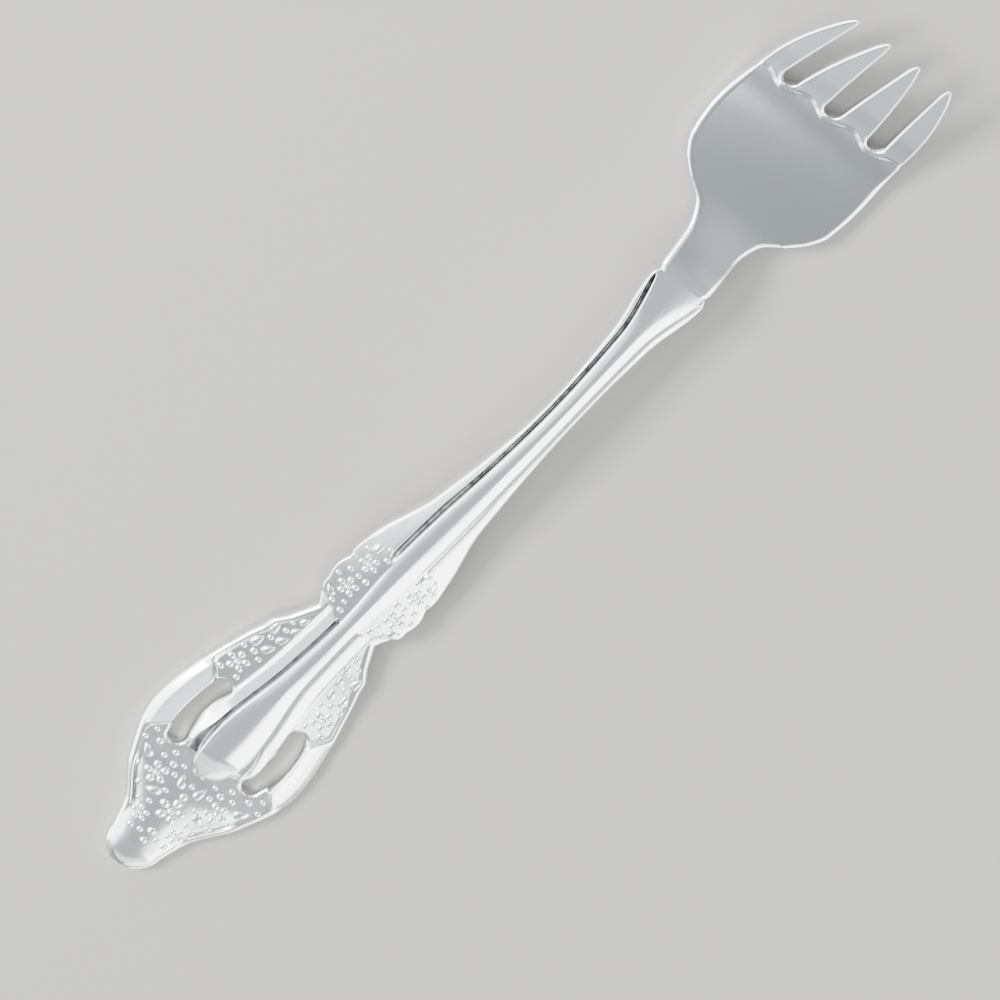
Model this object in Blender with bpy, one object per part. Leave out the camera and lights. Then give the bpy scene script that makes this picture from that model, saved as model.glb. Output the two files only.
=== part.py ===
"""Salad fork with a pierced, coined handle, as one stamping modelled in nine regions.

Metres, +Z up. +X runs from the handle's nose to the tine tips, the part rests on Z = 0, and the
origin is under the middle of its length. Each region is lofted through cross-sections, and
neighbours meet face to face on a plane across the fork.
"""

import math

import bmesh
import bpy
import numpy as np

# Lengths along the fork, nose to tine tips
HANDLE_END_LENGTH = 0.0480
KNOP_LENGTH = 0.0125
STEM_LENGTH = 0.0538
NECK_LENGTH = 0.0107
PALM_LENGTH = 0.0182
TINE_LENGTH = 0.0128

# Handle end, seen from above
NOSE_LENGTH = 0.0040
NOSE_WIDTH = 0.0084
OGEE_AT = 0.0080
OGEE_WIDTH = 0.0108
FLANK_AT = 0.0140
FLANK_WIDTH = 0.0184
SPEAR_AT = 0.0228
SPEAR_WIDTH = 0.0240
LEAF_TO_WAIST = 0.0100
LEAF_WIDTH = 0.0180
LEAF_TIP_TO_WAIST = 0.0057
LEAF_TIP_LENGTH = 0.0036
LEAF_TIP_RISE = 0.0004
WAIST_WIDTH = 0.0096

# Coined relief of the handle end, heights above its underside
NOSE_HEIGHT = 0.0013
RIM_WIDTH = 0.0008
RIM_HEIGHT = 0.00145
SLOT_BORDER_WIDTH = 0.0037
BORDER_TILT = 0.27
FIELD_HEIGHT = 0.0017
FLOWER_FIELD_HEIGHT = 0.0027
FLOWER_FIELD_END = 0.0180
FLOWER_FIELD_MARGIN = 0.0019
NOSE_MARGIN = 0.0007
BAR_START = 0.0210
BAR_WIDTH = 0.0017
BAR_TILT = 0.32
GROOVE_WIDTH = 0.0006
GROOVE_DEPTH = 0.0008
GROOVE_MOUTH_WIDTH = 0.0015
GROOVE_MOUTH_END = 0.0265
BEVEL = 0.0003

# Pierced slots on either side of the panel
SLOT_AT = 0.0251
SLOT_LENGTH = 0.0118
SLOT_WIDTH = 0.0023
SLOT_OFFSET = 0.0062
SLOT_BOW = 0.0008

# Crowned panel that runs from the handle end through the knop and the stem
PANEL_START = 0.0172
PANEL_RISE_LENGTH = 0.0032
PANEL_FULL_AT = 0.0245
PANEL_WIDTH = 0.0064
PANEL_LEAF_WIDTH = 0.0032
PANEL_WAIST_WIDTH = 0.0026
PANEL_STEM_START_WIDTH = 0.0035
PANEL_STEM_WIDTH = 0.0027
PANEL_FLARE_WIDTH = 0.0032
PANEL_END_WIDTH = 0.0068
PANEL_START_HEIGHT = 0.0016
PANEL_HEIGHT = 0.0027
PANEL_WAIST_HEIGHT = 0.0026
PANEL_STEM_START_HEIGHT = 0.0024
PANEL_STEM_HEIGHT = 0.0029
PANEL_CROWN = 0.0005
STEM_CROWN = 0.00035
SHOULDER_CROWN = 0.0004
CROWN_END_TO_HEEL = 0.0020

# Knop: a swelling with shallow lobes on each edge and a field on each side of the panel
KNOP_PEAK_AT = 0.0046
KNOP_WIDTH = 0.0138
KNOP_LOBE_COUNT = 3
KNOP_LOBE_DEPTH = 0.00045
KNOP_STEP = 0.0001
KNOP_STEP_RUN = 0.0040
KNOP_EDGE_DROP = 0.0008

# Stem: a groove on each side of the panel, and an edge that thins from a leaf to a bead
STEM_START_WIDTH = 0.0125
STEM_TAPER_AT = 0.0100
STEM_TAPER_WIDTH = 0.0079
STEM_NARROWEST_AT = 0.0320
STEM_WIDTH = 0.0046
STEM_FLARE_TO_SHOULDER = 0.0103
STEM_FLARE_WIDTH = 0.0056
SHOULDER_NUB_LENGTH = 0.0013
SHOULDER_WIDTH = 0.0083
STEM_START_DROP = 0.00095
STEM_TAPER_DROP = 0.0006
STEM_BEAD_DROP = 0.00015
STEM_ROLL = 0.00045
STEM_GROOVE_START_WIDTH = 0.0010
STEM_GROOVE_WIDTH = 0.0006
STEM_GROOVE_DEPTH = 0.0006
STEM_GROOVE_RUN = 0.0030

# Neck and palm
NECK_START_WIDTH = 0.0073
NECK_WIDTH = 0.0080
NECK_FLARE_AT = 0.0052
HEEL_CURVE_LENGTH = 0.0020
HEEL_CURVE_WIDTH = 0.0104
HEEL_WIDTH = 0.0156
CHEEK_AT = 0.0045
CHEEK_WIDTH = 0.0230
PALM_WIDEST_AT = 0.0098
PALM_WIDTH = 0.0242
ROOT_TAPER = 0.0013
NECK_THICKNESS = 0.0026
PALM_THICKNESS = 0.0018
DISH_DEPTH = 0.00015
DISH_FLAT_WIDTH = 0.0186

# Tines: four, with three slots that end in half circles
TINE_SLOT_WIDTH = 0.0023
TINE_SLOT_PITCH = 0.0070
OUTER_TIP_SPREAD = 0.0148
INNER_TIP_SPREAD = 0.0047
TINE_TIP_WIDTH = 0.0011
OUTER_TINE_BELLY = 0.0008
INNER_TINE_BELLY = 0.00035
TINE_TIP_THICKNESS = 0.0010
TINE_POINT_LENGTH = 0.0016

# Side profile: heights of the underside
WAIST_RISE = 0.0014
STEM_START_RISE = 0.0023
STEM_RISE = 0.0047
SHOULDER_RISE = 0.0042
HEEL_RISE = 0.0014
ROOT_RISE = 0.0016
TIP_RISE = 0.0077
HANDLE_FLAT_LENGTH = 0.0330
PALM_FLAT_AT = 0.0075
PALM_FLAT_LENGTH = 0.0050

EDGE_ROUND = 0.0005
CUTTER_REACH = 0.0200

# Powers that shape the curves: the panel's crown, the nose's dome and the roll of the sides
CROWN_POWER = 1.7
DOME_POWER = 0.8
ROLL_POWER = 1.2

# Fineness of the model, and the shares that keep it whole when a size changes
STATION_STEP = 0.0012
SLOT_SEGMENTS = 14
NOTCH_SEGMENTS = 24
NOSE_SEGMENTS = 6
POINT_SEGMENTS = 5
ROLL_SHARES = (0.4, 0.75)
DISH_SHARES = (0.35, 0.7)
LEAST_GROWTH = 0.02
LEAST_GAP = 0.00045
RIM_SHARE = 0.45
FLAT_SHARE = 0.6

# Planes where the regions meet, and places measured back from them
WAIST_X = HANDLE_END_LENGTH
STEM_X = WAIST_X + KNOP_LENGTH
SHOULDER_X = STEM_X + STEM_LENGTH
HEEL_X = SHOULDER_X + NECK_LENGTH
ROOT_X = HEEL_X + PALM_LENGTH
TIP_X = ROOT_X + TINE_LENGTH
MIDDLE_X = TIP_X / 2
LEAF_X = WAIST_X - LEAF_TO_WAIST
LEAF_TIP_X = WAIST_X - LEAF_TIP_TO_WAIST
NARROWEST_X = STEM_X + STEM_NARROWEST_AT
FLARE_X = SHOULDER_X - STEM_FLARE_TO_SHOULDER
SLOT_START = SLOT_AT - SLOT_LENGTH / 2
SLOT_END = SLOT_AT + SLOT_LENGTH / 2
ROOT_WIDTH = PALM_WIDTH - ROOT_TAPER


def smooth_curve(knots):
    """A curve through the knots that never overshoots them: a monotone cubic."""
    at, value = (np.array(column, float) for column in zip(*knots))
    gap = np.diff(at)
    rate = np.diff(value) / gap
    slope = np.concatenate([rate[:1], np.zeros(len(at) - 2), rate[-1:]])
    for k in range(1, len(at) - 1):
        if rate[k - 1] * rate[k] > 0:
            before = 2 * gap[k] + gap[k - 1]
            after = gap[k] + 2 * gap[k - 1]
            slope[k] = (before + after) / (before / rate[k - 1] + after / rate[k])

    def curve(x):
        x = min(max(x, at[0]), at[-1])
        k = min(int(np.searchsorted(at, x, side="right")) - 1, len(gap) - 1)
        t = (x - at[k]) / gap[k]
        start = (1 + 2 * t) * (1 - t) ** 2 * value[k] + t * (1 - t) ** 2 * gap[k] * slope[k]
        end = t * t * (3 - 2 * t) * value[k + 1] + t * t * (t - 1) * gap[k] * slope[k + 1]
        return float(start + end)

    return curve


UNDERSIDE = smooth_curve([
    (0, 0),
    (HANDLE_FLAT_LENGTH, 0),
    (WAIST_X, WAIST_RISE),
    (STEM_X, STEM_START_RISE),
    (NARROWEST_X, STEM_RISE),
    (SHOULDER_X, SHOULDER_RISE),
    (HEEL_X, HEEL_RISE),
    (HEEL_X + PALM_FLAT_AT, 0),
    (HEEL_X + PALM_FLAT_AT + PALM_FLAT_LENGTH, 0),
    (ROOT_X, ROOT_RISE),
    (TIP_X, TIP_RISE),
])

HANDLE_HALF = smooth_curve([
    (NOSE_LENGTH, NOSE_WIDTH / 2),
    (OGEE_AT, OGEE_WIDTH / 2),
    (FLANK_AT, FLANK_WIDTH / 2),
    (SPEAR_AT, SPEAR_WIDTH / 2),
    (LEAF_X, LEAF_WIDTH / 2),
    (WAIST_X, WAIST_WIDTH / 2),
])

# The border is a thin rim that broadens beside the slots
BORDER = smooth_curve([
    (0, RIM_WIDTH),
    (SLOT_START, RIM_WIDTH),
    (SLOT_START + SLOT_WIDTH, SLOT_BORDER_WIDTH),
    (SLOT_END - SLOT_WIDTH / 2, SLOT_BORDER_WIDTH),
    (SLOT_END + SLOT_WIDTH, RIM_WIDTH),
    (WAIST_X, RIM_WIDTH),
])

FLOWER_FIELD = smooth_curve([
    (0, 0),
    (NOSE_LENGTH, 1),
    (FLANK_AT, 1),
    (FLOWER_FIELD_END, 0),
])

FLOWER_MARGIN = smooth_curve([
    (0, NOSE_MARGIN),
    (OGEE_AT, NOSE_MARGIN),
    (FLANK_AT, FLOWER_FIELD_MARGIN),
])

GROOVE = smooth_curve([
    (PANEL_START, GROOVE_MOUTH_WIDTH),
    (BAR_START, GROOVE_MOUTH_WIDTH),
    (GROOVE_MOUTH_END, GROOVE_WIDTH),
])

PANEL_HALF = smooth_curve([
    (PANEL_START, PANEL_WIDTH / 2),
    (PANEL_FULL_AT, PANEL_WIDTH / 2),
    (LEAF_X, PANEL_LEAF_WIDTH / 2),
    (WAIST_X, PANEL_WAIST_WIDTH / 2),
    (STEM_X, PANEL_STEM_START_WIDTH / 2),
    (NARROWEST_X, PANEL_STEM_WIDTH / 2),
    (FLARE_X, PANEL_FLARE_WIDTH / 2),
    (SHOULDER_X, PANEL_END_WIDTH / 2),
])

PANEL_TOP = smooth_curve([
    (PANEL_START, PANEL_START_HEIGHT),
    (PANEL_START + PANEL_RISE_LENGTH, PANEL_HEIGHT),
    (LEAF_X, PANEL_HEIGHT),
    (WAIST_X, PANEL_WAIST_HEIGHT),
    (STEM_X, PANEL_STEM_START_HEIGHT),
    (NARROWEST_X, PANEL_STEM_HEIGHT),
    (SHOULDER_X, NECK_THICKNESS),
])

CROWN = smooth_curve([
    (PANEL_FULL_AT, PANEL_CROWN),
    (WAIST_X, STEM_CROWN),
    (FLARE_X, STEM_CROWN),
    (SHOULDER_X, SHOULDER_CROWN),
    (HEEL_X - CROWN_END_TO_HEEL, 0),
])

SIDE_DROP = smooth_curve([
    (WAIST_X, KNOP_EDGE_DROP),
    (STEM_X, STEM_START_DROP),
    (STEM_X + STEM_TAPER_AT, STEM_TAPER_DROP),
    (NARROWEST_X, STEM_BEAD_DROP),
    (FLARE_X, STEM_BEAD_DROP),
    (SHOULDER_X, 0),
])

KNOP_HALF = smooth_curve([
    (WAIST_X, WAIST_WIDTH / 2),
    (WAIST_X + KNOP_PEAK_AT, KNOP_WIDTH / 2),
    (STEM_X, STEM_START_WIDTH / 2),
    (STEM_X + STEM_TAPER_AT, STEM_TAPER_WIDTH / 2),
])

STEM_HALF = smooth_curve([
    (WAIST_X + KNOP_PEAK_AT, KNOP_WIDTH / 2),
    (STEM_X, STEM_START_WIDTH / 2),
    (STEM_X + STEM_TAPER_AT, STEM_TAPER_WIDTH / 2),
    (NARROWEST_X, STEM_WIDTH / 2),
    (FLARE_X, STEM_FLARE_WIDTH / 2),
    (SHOULDER_X - SHOULDER_NUB_LENGTH, SHOULDER_WIDTH / 2),
    (SHOULDER_X, NECK_START_WIDTH / 2),
])

STEM_GROOVE = smooth_curve([
    (STEM_X + STEM_TAPER_AT, STEM_GROOVE_START_WIDTH),
    (NARROWEST_X, STEM_GROOVE_WIDTH),
])

HEAD_HALF = smooth_curve([
    (SHOULDER_X, NECK_START_WIDTH / 2),
    (SHOULDER_X + NECK_FLARE_AT, NECK_WIDTH / 2),
    (HEEL_X - HEEL_CURVE_LENGTH, HEEL_CURVE_WIDTH / 2),
    (HEEL_X, HEEL_WIDTH / 2),
    (HEEL_X + CHEEK_AT, CHEEK_WIDTH / 2),
    (HEEL_X + PALM_WIDEST_AT, PALM_WIDTH / 2),
    (ROOT_X, ROOT_WIDTH / 2),
])

HEAD_THICKNESS = smooth_curve([
    (SHOULDER_X, NECK_THICKNESS),
    (HEEL_X, PALM_THICKNESS),
    (ROOT_X, PALM_THICKNESS),
    (TIP_X, TINE_TIP_THICKNESS),
])


def ramp(x, start, end):
    """From 0 at the start to 1 at the end, in a straight slope."""
    return min(max((x - start) / (end - start), 0), 1)


def arc_growth(x, length):
    """From 0 at the start to 1 at the given length, round like a quarter of an ellipse."""
    t = min(max(x / length, LEAST_GROWTH), 1)
    return math.sqrt(1 - (1 - t) ** 2)


def spread(lines, limit):
    """The lines in rising order below the limit, each at least a gap from the next."""
    gap = min(LEAST_GAP, limit / (len(lines) + 2))
    placed = []
    for k, line in enumerate(lines):
        low = placed[-1] + gap if placed else gap
        placed.append(max(min(line, limit - gap * (len(lines) - k)), low))
    return placed


def ring(half_top, half_bottom):
    """Closed cross-section from its right half: top from the middle out, underside from the edge in."""
    right = half_top + half_bottom
    inner_ends = (0, len(right) - 1)
    left = [(-y, z) for k, (y, z) in enumerate(right) if k not in inner_ends]
    return right + left[::-1]


def rounded_edge(half, top, bottom, top_round=EDGE_ROUND):
    """Points round the rim, from the top face to the underside."""
    r = min(top_round, half / 3, (top - bottom) / 2)
    under = min(EDGE_ROUND, half / 3, (top - bottom) / 3)
    mitre = 1 - math.sqrt(0.5)
    return [
        (half - r, top),
        (half - mitre * r, top - mitre * r),
        (half, top - r),
        (half, bottom + under),
        (half - mitre * under, bottom + mitre * under),
        (half - under, bottom),
    ]


def panel_half(x):
    """Half the panel's width, with a round end towards the nose."""
    return PANEL_HALF(x) * arc_growth(x - PANEL_START, PANEL_FULL_AT - PANEL_START)


def crown(x, y, panel):
    """How far the crown stands above the panel's edge."""
    return CROWN(x) * (1 - min(y / panel, 1) ** CROWN_POWER)


def panel_points(x, panel):
    """Crowned panel from its middle to its edge, as heights above the underside."""
    return [(y, PANEL_TOP(x) + crown(x, y, panel)) for y in (0, panel / 2, panel)]


def handle_end_half(x):
    """Half the handle end's width: round nose, ogee flanks, and a leaf tip before the waist."""
    if x < NOSE_LENGTH:
        return arc_growth(x, NOSE_LENGTH) * NOSE_WIDTH / 2
    off_tip = min(abs(x - LEAF_TIP_X) / (LEAF_TIP_LENGTH / 2), 1)
    return HANDLE_HALF(x) + LEAF_TIP_RISE * (1 - off_tip)


def flower_field(x, y):
    """Height of the sunk field, which swells to a dome between the nose and the panel."""
    ground = NOSE_HEIGHT + (FIELD_HEIGHT - NOSE_HEIGHT) * arc_growth(x, NOSE_LENGTH)
    reach = max(handle_end_half(x) - FLOWER_MARGIN(x), NOSE_MARGIN)
    dome = max(1 - (y / reach) ** 2, 0) ** DOME_POWER
    return ground + (FLOWER_FIELD_HEIGHT - FIELD_HEIGHT) * FLOWER_FIELD(x) * dome


def handle_end_section(x):
    """Crowned panel, groove, tilted bar, sunk field and tilted border, struck from the nose on."""
    base = UNDERSIDE(x)
    half = handle_end_half(x)
    rim = NOSE_HEIGHT + (RIM_HEIGHT - NOSE_HEIGHT) * arc_growth(x, NOSE_LENGTH)
    border = half - min(BORDER(x), RIM_SHARE * half)
    bar_in = panel_half(x) + GROOVE(x)
    panel, bar_in, bar_out = spread([panel_half(x), bar_in, bar_in + BAR_WIDTH], border)
    bevel = min(BEVEL, LEAST_GROWTH * half) / 2
    struck = ramp(x, PANEL_START, BAR_START)
    bar_top = PANEL_TOP(x)
    raised = panel_points(x, panel - bevel) + [
        (panel + bevel, bar_top - GROOVE_DEPTH),
        (bar_in - bevel, bar_top - GROOVE_DEPTH),
        (bar_in + bevel, bar_top),
        (bar_out - bevel, bar_top - BAR_TILT * (bar_out - bar_in)),
        (bar_out + bevel, flower_field(x, bar_out)),
        (border - bevel, flower_field(x, border)),
    ]
    top = []
    for y, height in raised:
        field = flower_field(x, y)
        top.append((y, base + field + (height - field) * struck))
    top.append((border + bevel, base + rim + BORDER_TILT * (half - border)))
    edge = rounded_edge(half, base + rim, base)
    return ring(top + edge, [(half / 2, base), (0, base)])


def rolled_side(x, start, panel, half, top, top_round):
    """Points on the side of the knop or the stem, which falls in a roll towards the edge."""
    end = half - min(top_round, half / 3)
    ys = [start] + [start + share * (end - start) for share in ROLL_SHARES]
    return [(y, top - SIDE_DROP(x) * ((y - panel) / (half - panel)) ** ROLL_POWER) for y in ys]


def knop_section(x):
    """Crowned panel, a step down to the field beside it, and a roll to the scalloped edge."""
    base = UNDERSIDE(x)
    share = (x - WAIST_X) / KNOP_LENGTH
    scallop = 1 - abs(math.sin(math.pi * KNOP_LOBE_COUNT * share))
    half = KNOP_HALF(x) - KNOP_LOBE_DEPTH * scallop * math.sin(math.pi * share)
    panel = min(panel_half(x), half - 2 * LEAST_GAP)
    top = base + PANEL_TOP(x)
    sunk = KNOP_STEP * ramp(STEM_X - x, 0, KNOP_STEP_RUN)
    points = [(y, base + height) for y, height in panel_points(x, panel)]
    points += rolled_side(x, panel + BEVEL, panel, half, top - sunk, EDGE_ROUND)
    edge = rounded_edge(half, top - SIDE_DROP(x) - sunk, base)
    return ring(points + edge, [(half / 2, base), (0, base)])


def stem_section(x):
    """Crowned panel, a groove on each side that dies out at both ends, and a rolled edge."""
    base = UNDERSIDE(x)
    half = STEM_HALF(x)
    top = base + PANEL_TOP(x)
    panel = min(panel_half(x), half - 2 * LEAST_GAP)
    groove = min(STEM_GROOVE(x), (half - panel) / 2)
    deep = STEM_GROOVE_DEPTH * ramp(x, STEM_X, STEM_X + STEM_GROOVE_RUN)
    deep *= ramp(SHOULDER_X - x, 0, STEM_GROOVE_RUN)
    top_round = min(STEM_ROLL, (half - panel - groove) * 2 / 3)
    points = [(y, base + height) for y, height in panel_points(x, panel)]
    points.append((panel + groove / 2, top - deep))
    points += rolled_side(x, panel + groove, panel, half, top, top_round)
    edge = rounded_edge(half, top - SIDE_DROP(x), base, top_round)
    return ring(points + edge, [(half / 2, base), (0, base)])


def dish(x, y):
    """How far the palm's surface rises towards its sides: flat in the middle, nothing at the neck."""
    flat = DISH_FLAT_WIDTH / 2
    reach = max(PALM_WIDTH / 2 - flat, EDGE_ROUND)
    depth = DISH_DEPTH * ramp(x, SHOULDER_X + NECK_FLARE_AT, HEEL_X)
    return depth * (max(abs(y) - flat, 0) / reach) ** 2


def head_section(x):
    """Dished plate with a rounded rim, the neck and the palm. The stem's crown runs out on the neck."""
    base = UNDERSIDE(x)
    half = HEAD_HALF(x)
    thick = HEAD_THICKNESS(x)
    flat = min(DISH_FLAT_WIDTH / 2, FLAT_SHARE * half)
    across = [0, flat] + [flat + share * (half - EDGE_ROUND - flat) for share in DISH_SHARES]
    top = [(y, base + dish(x, y) + thick + crown(x, y, PANEL_END_WIDTH / 2)) for y in across]
    lift = base + dish(x, half)
    edge = rounded_edge(half, lift + thick, lift)
    bottom = [(y, base + dish(x, y)) for y in across[::-1]]
    return ring(top + edge, bottom)


def tine_edges(number, x):
    """Left and right side of a tine, numbered 1 to 4 from +Y, at a distance along the fork."""
    t = min((x - ROOT_X) / TINE_LENGTH, 1)
    gap = TINE_SLOT_WIDTH / 2
    outer = number in (1, 4)
    root_in = TINE_SLOT_PITCH + gap if outer else gap
    root_out = ROOT_WIDTH / 2 if outer else TINE_SLOT_PITCH - gap
    tip = OUTER_TIP_SPREAD / 2 if outer else INNER_TIP_SPREAD / 2
    belly = OUTER_TINE_BELLY if outer else INNER_TINE_BELLY
    near = root_in + (tip - TINE_TIP_WIDTH / 2 - root_in) * t
    far = root_out + (tip + TINE_TIP_WIDTH / 2 - root_out) * t + belly * 4 * t * (1 - t)
    point = arc_growth(TIP_X - x, TINE_POINT_LENGTH)
    middle = (near + far) / 2
    near, far = middle + (near - middle) * point, middle + (far - middle) * point
    return (near, far) if number <= 2 else (-far, -near)


def tine_section(number):
    """Cross-section of one tine: a slice of the dished plate with rounded corners."""

    def section(x):
        low, high = tine_edges(number, x)
        base = UNDERSIDE(x)
        thick = HEAD_THICKNESS(x)
        r = min(EDGE_ROUND, (high - low) / 4, thick / 4)
        mitre = r * (1 - math.sqrt(0.5))
        across = [(low, r), (low + mitre, mitre), (low + r, 0), ((low + high) / 2, 0)]
        across += [(high - r, 0), (high - mitre, mitre), (high, r)]
        top = [(y, base + dish(x, y) + thick - drop) for y, drop in across]
        bottom = [(y, base + dish(x, y) + drop) for y, drop in across[::-1]]
        return top + bottom

    return section


def stations(start, end, step=STATION_STEP):
    return [float(x) for x in np.linspace(start, end, math.ceil((end - start) / step) + 1)]


def nose_stations():
    """Close together round the nose, then at the usual step."""
    turns = [math.pi / 2 * k / NOSE_SEGMENTS for k in range(NOSE_SEGMENTS)]
    return [NOSE_LENGTH * (1 - math.cos(turn)) for turn in turns] + stations(NOSE_LENGTH, WAIST_X)


def tine_stations():
    """The usual step, then close together round the point."""
    turns = [math.pi / 2 * k / POINT_SEGMENTS for k in range(1, POINT_SEGMENTS + 1)]
    point = [TIP_X - TINE_POINT_LENGTH * (1 - math.sin(turn)) for turn in turns]
    return stations(ROOT_X, TIP_X - TINE_POINT_LENGTH) + point


def steel(name, hex_colour, roughness):
    """Stainless steel with its own finish."""
    material = bpy.data.materials.new(name)
    material.use_nodes = True
    shader = material.node_tree.nodes["Principled BSDF"]
    channels = [int(hex_colour[k:k + 2], 16) / 255 for k in (0, 2, 4)]
    shader.inputs["Base Color"].default_value = (*[c ** 2.2 for c in channels], 1)
    shader.inputs["Metallic"].default_value = 1
    shader.inputs["Roughness"].default_value = roughness
    return material


def loft(name, xs, section, material):
    """Solid skinned through its cross-sections, with a flat cap on each end."""
    bm = bmesh.new()
    rows = [[bm.verts.new((x - MIDDLE_X, y, z)) for y, z in section(x)] for x in xs]
    for row, following in zip(rows, rows[1:]):
        for k in range(len(row)):
            bm.faces.new((row[k - 1], row[k], following[k], following[k - 1]))
    bm.faces.new(rows[0])
    bm.faces.new(rows[-1][::-1])
    bmesh.ops.recalc_face_normals(bm, faces=bm.faces)
    return add_object(name, bm, material)


def add_object(name, bm, material=None):
    mesh = bpy.data.meshes.new(name)
    bm.to_mesh(mesh)
    bm.free()
    mesh.shade_smooth()
    mesh.set_sharp_from_angle(angle=math.radians(35))
    obj = bpy.data.objects.new(name, mesh)
    bpy.context.scene.collection.objects.link(obj)
    if material:
        mesh.materials.append(material)
    return obj


def prism_cutter(name, outlines):
    """Upright cutter made of one prism for each outline in plan."""
    bm = bmesh.new()
    for outline in outlines:
        face = bm.faces.new([bm.verts.new((x - MIDDLE_X, y, -CUTTER_REACH)) for x, y in outline])
        raised = bmesh.ops.extrude_face_region(bm, geom=[face])["geom"]
        moved = [item for item in raised if isinstance(item, bmesh.types.BMVert)]
        bmesh.ops.translate(bm, verts=moved, vec=(0, 0, 2 * CUTTER_REACH))
    bmesh.ops.recalc_face_normals(bm, faces=bm.faces)
    cutter = add_object(name, bm)
    cutter.hide_render = True
    cutter.display_type = "WIRE"
    return cutter


def cut(obj, cutter):
    modifier = obj.modifiers.new(cutter.name, "BOOLEAN")
    modifier.operation = "DIFFERENCE"
    modifier.object = cutter


def bowed_slot(side):
    """Outline of one pierced slot: round ends on a middle line that bows towards the border."""
    radius = SLOT_WIDTH / 2
    reach = SLOT_LENGTH / 2 - radius

    def middle(t):
        return SLOT_AT + t * reach, side * (SLOT_OFFSET + SLOT_BOW * (1 - t * t))

    steps = [2 * k / SLOT_SEGMENTS - 1 for k in range(SLOT_SEGMENTS + 1)]
    outline = [(middle(t)[0], middle(t)[1] - radius) for t in steps]
    outline += [round_end(middle(1), radius, k, -0.5) for k in range(1, SLOT_SEGMENTS // 2)]
    outline += [(middle(t)[0], middle(t)[1] + radius) for t in steps[::-1]]
    outline += [round_end(middle(-1), radius, k, 0.5) for k in range(1, SLOT_SEGMENTS // 2)]
    return outline


def round_end(centre, radius, k, start):
    angle = math.pi * (start + k / (SLOT_SEGMENTS // 2))
    return centre[0] + radius * math.cos(angle), centre[1] + radius * math.sin(angle)


def notch(y):
    """Round outline of a tine slot's end, centred on the plane of the tine roots."""
    turn = [2 * math.pi * k / NOTCH_SEGMENTS for k in range(NOTCH_SEGMENTS)]
    radius = TINE_SLOT_WIDTH / 2
    return [(ROOT_X + radius * math.cos(a), y + radius * math.sin(a)) for a in turn]


for existing in list(bpy.data.objects):
    bpy.data.objects.remove(existing)

polished = steel("polished stainless steel", "D9DCDD", 0.12)
satin = steel("satin stainless steel", "B4B7B9", 0.32)

handle_end = loft("handle_end", nose_stations(), handle_end_section, polished)
cut(handle_end, prism_cutter("pierced_slot_cutter", [bowed_slot(1), bowed_slot(-1)]))

loft("knop", stations(WAIST_X, STEM_X, STATION_STEP / 2), knop_section, polished)
loft("stem", stations(STEM_X, SHOULDER_X), stem_section, polished)
loft("neck", stations(SHOULDER_X, HEEL_X), head_section, satin)

palm_joints = (HEEL_X, HEEL_X + PALM_FLAT_AT, HEEL_X + PALM_FLAT_AT + PALM_FLAT_LENGTH, ROOT_X)
palm_stations = stations(*palm_joints[:2]) + list(palm_joints[2:3]) + stations(*palm_joints[2:])[1:]
palm = loft("palm", palm_stations, head_section, satin)
cut(palm, prism_cutter("tine_slot_cutter", [notch(k * TINE_SLOT_PITCH) for k in (1, 0, -1)]))

for tine in (1, 2, 3, 4):
    loft(f"tine_{tine}", tine_stations(), tine_section(tine), satin)
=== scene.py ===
"""Salad fork with a pierced, coined handle: its surfaces, finishes, stage, light and camera.

Shapes are worked out in millimetres: x along the fork from the handle's nose, y across it, z up from
the table. Each region of the stamping is a closed mesh that meets its neighbours on the frame's planes.
"""

import math

import bmesh
import bpy
import numpy as np
from mathutils import Matrix, Vector


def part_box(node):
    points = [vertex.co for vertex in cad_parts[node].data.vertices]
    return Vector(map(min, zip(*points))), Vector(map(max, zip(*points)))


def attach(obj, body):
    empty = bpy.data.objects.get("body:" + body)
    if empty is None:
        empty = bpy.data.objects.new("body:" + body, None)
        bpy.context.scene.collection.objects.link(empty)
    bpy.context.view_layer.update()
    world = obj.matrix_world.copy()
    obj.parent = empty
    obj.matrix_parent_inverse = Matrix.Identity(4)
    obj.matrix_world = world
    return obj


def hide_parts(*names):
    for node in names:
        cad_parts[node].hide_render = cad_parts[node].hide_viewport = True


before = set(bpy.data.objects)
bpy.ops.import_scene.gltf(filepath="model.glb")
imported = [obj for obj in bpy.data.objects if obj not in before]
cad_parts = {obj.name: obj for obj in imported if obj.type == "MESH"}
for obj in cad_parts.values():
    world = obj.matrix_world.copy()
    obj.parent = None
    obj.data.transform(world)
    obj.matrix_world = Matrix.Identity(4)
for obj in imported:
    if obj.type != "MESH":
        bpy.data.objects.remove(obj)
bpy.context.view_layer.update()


# Handle end
# The spear-shaped end of the stamping: stainless sheet, pierced with two slots and struck between
# dies, so that a ridged panel, two bars, a border and a flower field stand up from a sunk ground.

MM = 0.001
NOSE_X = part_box("handle_end")[0].x


def far_end(node):
    """Distance from the nose to the far end of a node, in millimetres."""
    return (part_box(node)[1].x - NOSE_X) / MM


WAIST = far_end("handle_end")
STEM_START = far_end("knop")
SHOULDER = far_end("stem")
HEEL = far_end("neck")
ROOT = far_end("palm")
TIP = far_end("tine_2")


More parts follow.
